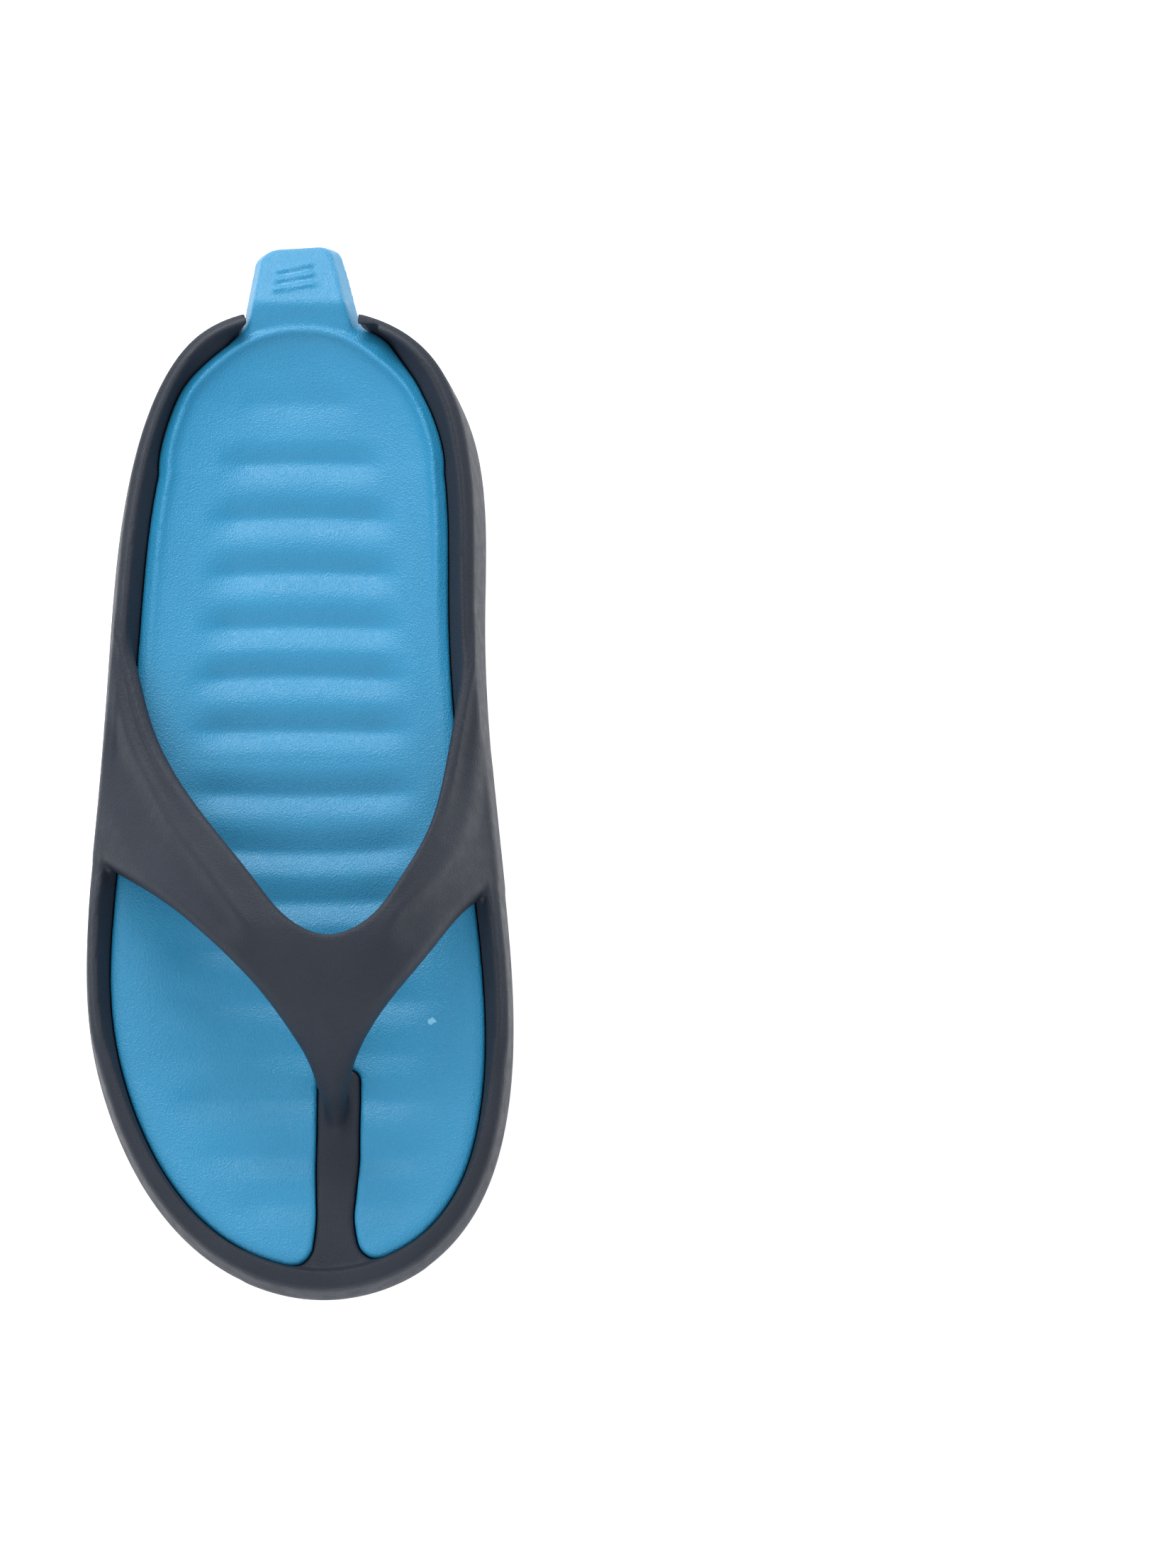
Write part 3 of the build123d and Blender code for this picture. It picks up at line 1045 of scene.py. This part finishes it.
    def _strap(self) -> np.ndarray:
        """Arched sheet of the strap, cut to its plan.

        Returns:
            The field, negative inside.
        """
        g, last = self.grid, self.last
        y = g.axes[1]
        low, high = self.arch_low.at(y)[None, :], self.arch_high.at(y)[None, :]
        left, right = self.arch_left.at(y)[None, :], self.arch_right.at(y)[None, :]
        side = np.where(g.x < last.centre, left, right)
        share = np.abs((g.x - last.centre) / (side - last.centre))
        arch = low + (high - low) * (1 - share**self.arch_power)
        arch = np.maximum(arch, low - self.arch_reach)
        slope_x, slope_y = np.gradient(arch, self.pitch)
        steep = np.sqrt(1 + np.minimum(slope_x**2 + slope_y**2, 6))
        back = spline(list(self.opening))
        front = (spline(list(self.inner_front)), spline(list(self.outer_front)))
        plan = loop_distance(np.vstack([back, *front]), g.x, g.y)
        edge, _, _ = path_distance(back, g.x, g.y, False)
        upper = step(g.y, -34, 2)
        top = arch + self.strap_crown * step(-plan, 0, 9) - self._scoops()
        bead = 0.75 * ridge(edge, 2.9, 0.7)
        groove = 0.55 * ridge(edge, 4.8, 1.1)
        fall = 0.7 * (1 - step(edge, 0.5, 3.0))
        top = top + upper * (bead - groove - fall)
        above = (g.z - top[:, :, None]) / steep[:, :, None]
        under = (arch - self.strap_thickness * steep)[:, :, None]
        below = (under - g.z) / steep[:, :, None]
        return rounded(plan[:, :, None] + 0 * g.z, np.maximum(above, below), self.strap_edge)

    def _scoops(self) -> np.ndarray:
        """Depth of the long scoop that runs down the outside of a ridge on each arm.

        Returns:
            The depth over the plan.
        """
        g = self.grid
        depth = np.zeros((g.x.size, g.y.size))
        ridges = (self.outer_ridge, self.inner_ridge)
        for route, side, most in zip(ridges, (-1, 1), self.scoop_depths):
            line = spline(list(route))
            distance, _, share = path_distance(line, g.x, g.y, False)
            x_on_line = np.interp(-g.y, -line[:, 1], line[:, 0])
            away = np.where((g.x - x_on_line) * side > 0, distance, -distance)
            fall = step(away, -0.2, 3.4) * (1 - step(away, 4.0, 13.0))
            reach = step(share, 0.05, 0.35) * (1 - step(share, 0.90, 1.0))
            depth += most * fall * reach - 0.5 * ridge(away, -0.6, 1.5) * reach
        return depth

    def _post(self) -> np.ndarray:
        """Post that carries the strap down between the toes.

        Returns:
            The field, negative inside.
        """
        g = self.grid
        top, foot = np.array(self.post_top), np.array(self.post_foot)
        run = foot - top
        length = np.hypot(*run)
        y, z = g.y[:, :, None] - top[0], g.z - top[1]
        down = (y * run[0] + z * run[1]) / length**2
        front = (y * run[1] - z * run[0]) / length
        half = np.interp(down, *zip(*self.post_widths))
        deep = np.interp(down, *zip(*self.post_depths))
        centre = self.last.centre
        ring = np.sqrt(((g.x[:, :, None] - centre) / half) ** 2 + (front / deep) ** 2)
        tube = (ring - 1) * np.minimum(half, deep)
        return np.maximum(np.maximum(tube, (-0.06 - down) * length), self.post_low - g.z)

    def _notch(self) -> np.ndarray:
        """Gap in the wall behind the heel, where the tab passes, with a ledge beside it.

        Returns:
            The field, negative inside.
        """
        g, last = self.grid, self.last
        left, right = self.notch_sides
        ledge_x, ledge_y, ledge_z = self.ledge
        behind = (last.heel_y - self.notch_depth) - g.y
        lean = self.notch_lean * (ledge_z - g.z)
        across = g.x[:, :, None]
        deep = np.maximum(left - lean - across, across - right)
        deep = np.maximum(deep, behind[:, :, None])
        beside = np.minimum(across - ledge_x - lean, (g.y - ledge_y)[:, :, None])
        cut = rounded(np.maximum(deep, beside), self.notch_floor - g.z, self.notch_edge)
        above = np.maximum(np.maximum(left - g.x, g.x - right), behind)[:, :, None]
        return np.minimum(cut, np.maximum(above, ledge_z - g.z))

    def _tread(self) -> np.ndarray:
        """Wavy grooves across the underside.

        Returns:
            The field, negative inside.
        """
        g, last = self.grid, self.last
        height, stretch = self.tread_wave
        wave = height * np.abs(((g.x / stretch) % 2) - 1)
        phase = ((g.y + wave * 2) / self.tread_pitch) % 1
        across = (self.tread_groove - np.abs(phase - 0.5)) * -self.tread_pitch
        plan = smooth_max(across, self.outline + self.tread_margin, 1.5)
        waist = 1 - step(np.abs(g.y - last.along(0.52)), 10, 14) + step(-g.y, 112, 120)
        top = (last.ground.at(g.axes[1]) + self.tread_depth)[None, :, None]
        return rounded((plan + 20 * waist)[:, :, None] + 0 * g.z, g.z - top, 0.6)


# ----------------------------------------------------------------- the footbed
@dataclass
class Footbed:
    """Blue moulding: ribbed insole with a raised heel lip and a pull tab."""

    last: Last
    finish: FoamFinish = FOOTBED_FINISH
    pitch: float = 0.68
    half_room: float = 55
    edge_round: float = 0.9
    seat_fillet: float = 1.5
    rib_depth: float = 2.0
    half_pitch: float = 7.0
    crease_round: float = 0.9
    lip_height: float = 3.1
    lip_inset: float = 3.2
    seat_gap: float = 0.3
    tab_left: tuple = (
        (116, -18.6), (122, -17.6), (126, -15.8), (130, -14.8), (142, -13.3), (153, -12.0),
    )
    tab_right: tuple = ((116, 15.6), (122, 14.6), (126, 12.7), (133, 10.7), (143, 8.5), (153, 5.8))
    tab_tip: tuple = (-14.0, 151.3, 9.0, 153.0)
    tab_line: tuple = (
        (120, 24.0), (123.5, 28.6), (125.6, 30.3), (131.8, 32.4), (133.2, 32.3),
        (153, 25.0),
    )
    tab_corners: tuple = (4.2, 3.2)
    tab_drafts: tuple = (3.0, 4.0)
    tab_thick: tuple = ((120, 3.0), (126, 6.4), (132, 8.0), (152, 5.0))
    tab_start: float = 121.0
    tab_edge: float = 0.9
    tab_under: float = 1.8
    tab_fillet: float = 1.8
    grip_start: tuple = (-8.6, 136.6)
    grip_run: tuple = (10.4, 2.2)
    grip_step: tuple = (0.5, 3.5)
    grip_radius: float = 0.85
    grip_fillet: float = 0.8
    bend_length: float = 0.045
    bend_height: float = 0.02

    # Creases between the ribs: place along Y, bow towards the heel at the middle,
    # left and right end of the crease, and its share of the full depth.
    creases: tuple = (
        (103.8, 0.6, -17.8, 13.9, 0.32),
        (86.2, 0.8, -22.5, 21.4, 0.85),
        (69.6, 1.2, -25.4, 24.8, 0.95),
        (53.4, 1.3, -26.1, 26.1, 1.00),
        (37.9, 0.9, -27.3, 27.3, 1.00),
        (23.0, 1.4, -28.8, 28.6, 1.00),
        (8.2, 0.5, -29.5, 29.8, 1.00),
        (-9.0, -0.6, -30.2, 32.1, 1.00),
        (-24.2, -1.6, -30.8, 32.2, 1.00),
        (-39.0, -0.9, -31.5, 32.3, 0.90),
        (-52.8, -0.8, -33.6, 34.6, 0.60),
        (-67.8, -0.6, -36.5, 39.0, 0.46),
        (-82.8, 0.0, -36.1, 39.1, 0.26),
        (-96.2, 0.8, -31.6, 37.1, 0.55),
        (-111.5, 0.0, -24.8, 37.2, 0.52),
        (-125.5, 0.4, -15.1, 36.3, 0.34),
    )

    def build(self) -> bpy.types.Object:
        """Carve the footbed with its tab.

        Returns:
            The footbed as one piece.
        """
        last = self.last
        low = (-self.half_room, last.toe_y + 3, 8)
        high = (self.half_room, last.tab_y + 4, 38)
        self.grid = Carving(low, high, self.pitch)
        g = self.grid
        whole, slotted, crest = last.bed_plan(g)
        near_heel = step(g.y, 88, 104)
        self.inset = -whole
        self.from_crest = (-whole - self.lip_inset) * (1 - near_heel) - crest * near_heel
        above = g.z - self._top()[:, :, None]
        solid = rounded(slotted[:, :, None] + 0 * g.z, above, self.edge_round)
        seat = (last.floor.at(g.axes[1]) + self.seat_gap)[None, :, None] - g.z
        solid = smooth_max(solid, seat, self.seat_fillet)
        solid = smooth_min(solid, self._tab(), self.tab_fillet)
        solid = smooth_min(solid, self._grip_bars(), self.grip_fillet)
        piece = self.grid.mesh("footbed", solid)
        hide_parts(*FOOTBED_NODES)
        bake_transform(piece)
        return piece

    def _top(self) -> np.ndarray:
        """Height of the foot side: dish, heel lip and cross ribs.

        Returns:
            The height over the plan.
        """
        g, last = self.grid, self.last
        inset = self.inset
        heel = step(g.y, last.along(0.50), last.along(0.90))
        crest = 0.4 + (self.lip_height - 0.4) * step(g.y, last.along(0.60), last.along(0.97))
        inside = 1 - np.clip(self.from_crest / 17, 0, 1)
        outside = np.clip(-self.from_crest, 0, None)
        lip = crest * inside**2.6 - (0.10 + 0.20 * heel) * outside**1.35
        lip += 0.85 * heel * ridge(self.from_crest, 0, 1.4)
        dish = -1.0 * (0.3 + 0.7 * heel) * step(inset, 8, 28)
        return last.bed.at(g.axes[1])[None, :] + lip + dish - self._creases()

    def _creases(self) -> np.ndarray:
        """Depth of the creases between the cross ribs.

        Returns:
            The depth over the plan.
        """
        g = self.grid
        depth = np.zeros((g.x.size, g.y.size))
        for place, bow, left, right, share in self.creases:
            across = (g.x - (left + right) / 2) / ((right - left) / 2)
            away = np.abs(g.y - place - bow * (1 - np.minimum(across**2, 1.3)))
            fade = 1 - step(np.abs(across), 0.68, 1.14)
            away = np.hypot(away, self.crease_round) - self.crease_round
            rib = np.sin(np.pi / 2 * np.clip(away / self.half_pitch, 0, 1))
            depth = np.maximum(depth, share * fade * (1 - rib**1.05))
        return self.rib_depth * depth

    def _tab(self) -> np.ndarray:
        """Pull tab: level over the wall, then falling away behind the heel.

        Returns:
            The field, negative inside.
        """
        g = self.grid
        y = g.axes[1]
        top = Profile(list(self.tab_line), 1.2).at(y)[None, :, None]
        thick = np.interp(y, *zip(*self.tab_thick))[None, :, None]
        x0, y0, x1, y1 = self.tab_tip
        tip = g.y - (y0 + (g.x - x0) * (y1 - y0) / (x1 - x0))
        fall = np.clip((top - g.z) / thick, 0, 1.2)
        sides = []
        edges = (self.tab_left, self.tab_right)
        for edge, sign, corner, draft in zip(edges, (-1, 1), self.tab_corners, self.tab_drafts):
            line = Profile(list(edge), 2.0).at(y)[None, :]
            across = ((g.x - line) * sign)[:, :, None] - draft * fall
            sides.append(rounded(across * 0.93, tip[:, :, None] - 0.8 * fall, corner))
        plan = np.maximum(np.maximum(*sides), (self.tab_start - g.y)[:, :, None])
        shape = rounded(plan, g.z - top, self.tab_edge)
        return smooth_max(shape, (top - thick) - g.z, self.tab_under)

    def _grip_bars(self) -> np.ndarray:
        """Three short slanted bars that give the thumb a hold on the tab.

        Returns:
            The field, negative inside.
        """
        g = self.grid
        surface = np.interp(g.axes[1], *zip(*self.tab_line))[None, :, None]
        bars = np.full((g.x.size, g.y.size, g.z.size), 9.0)
        (left, front), (run, slant), (shift, apart) = self.grip_start, self.grip_run, self.grip_step
        for index in range(3):
            start = np.array([left + shift * index, front + apart * index])
            end = start + np.array([run - 1.0 * index, slant])
            distance, _, _ = path_distance(np.array([start, end]), g.x, g.y, False)
            bar = np.hypot(distance[:, :, None], g.z - surface) - self.grip_radius
            bars = np.minimum(bars, bar)
        return bars


# ----------------------------------------------------------------- the studio
@dataclass
class Studio:
    """Pale floor, soft light and the camera."""

    elevation: float = 72.0
    distance: float = 1.5
    target: tuple = (0.0794, -0.00586, 0.020)
    view_height: float = 0.4314
    floor_size: float = 6.0
    floor_drop: float = 0.3 * MM
    floor_colour: tuple = (0.93, 0.93, 0.93, 1)
    floor_glow: float = 0.7
    sky_colour: tuple = (0.97, 0.985, 1.0, 1)
    sky_strength: float = 0.50

    # Name, place, size and power of each light.
    lights: tuple = (
        ("key", (-0.5, 1.1, 1.4), 1.6, 8.5),
        ("low_back", (-0.25, 1.5, 0.88), 1.0, 19.0),
        ("fill", (-0.4, -1.2, 1.5), 2.0, 16.0),
    )

    def build(self) -> None:
        """Lay the floor, hang the lights and place the camera."""
        self._floor()
        self._lights()
        self._camera()
        bpy.context.scene.view_settings.view_transform = "Standard"

    def _floor(self) -> None:
        """Plain pale floor a little under the part."""
        size, low = self.floor_size, -self.floor_drop
        mesh = bpy.data.meshes.new("floor")
        corners = [(-size, -size, low), (size, -size, low), (size, size, low), (-size, size, low)]
        mesh.from_pydata(corners, [], [(0, 1, 2, 3)])
        floor = bpy.data.objects.new("floor", mesh)
        bpy.context.scene.collection.objects.link(floor)
        material = bpy.data.materials.new("pale_floor")
        material.use_nodes = True
        shader = material.node_tree.nodes["Principled BSDF"]
        shader.inputs["Base Color"].default_value = self.floor_colour
        shader.inputs["Roughness"].default_value = 0.9
        shader.inputs["Specular IOR Level"].default_value = 0.1
        shader.inputs["Emission Color"].default_value = (1, 1, 1, 1)
        shader.inputs["Emission Strength"].default_value = self.floor_glow
        mesh.materials.append(material)

    def _lights(self) -> None:
        """Even light from all round, with a soft key from behind the heel."""
        world = bpy.data.worlds.new("studio")
        world.use_nodes = True
        background = world.node_tree.nodes["Background"]
        background.inputs["Color"].default_value = self.sky_colour
        background.inputs["Strength"].default_value = self.sky_strength
        bpy.context.scene.world = world
        for name, place, size, power in self.lights:
            light = bpy.data.lights.new(name, "AREA")
            light.energy = power
            light.size = size
            lamp = bpy.data.objects.new(name, light)
            lamp.location = place
            lamp.rotation_euler = Vector(place).to_track_quat("Z", "Y").to_euler()
            bpy.context.scene.collection.objects.link(lamp)

    def _camera(self) -> None:
        """Camera above the toes, looking steeply down."""
        angle = math.radians(self.elevation)
        target = Vector(self.target)
        back = Vector((0, -math.cos(angle), math.sin(angle)))
        data = bpy.data.cameras.new("camera")
        data.sensor_fit = "VERTICAL"
        data.angle_y = 2 * math.atan(self.view_height / 2 / self.distance)
        data.dof.use_dof = False
        camera = bpy.data.objects.new("camera", data)
        camera.location = target + back * self.distance
        camera.rotation_euler = back.to_track_quat("Z", "Y").to_euler()
        bpy.context.scene.collection.objects.link(camera)
        bpy.context.scene.camera = camera


def main() -> None:
    """Build every piece in order and report each one."""
    logging.basicConfig(level=logging.INFO, format="%(message)s")
    Studio().build()
    last = Last()
    for maker in (Shell(last), Footbed(last)):
        piece = maker.build()
        maker.finish.dress(piece)
        LOG.info("%s: %d faces", piece.name, len(piece.data.polygons))
    bpy.context.view_layer.update()


if __name__ == "__main__":
    main()
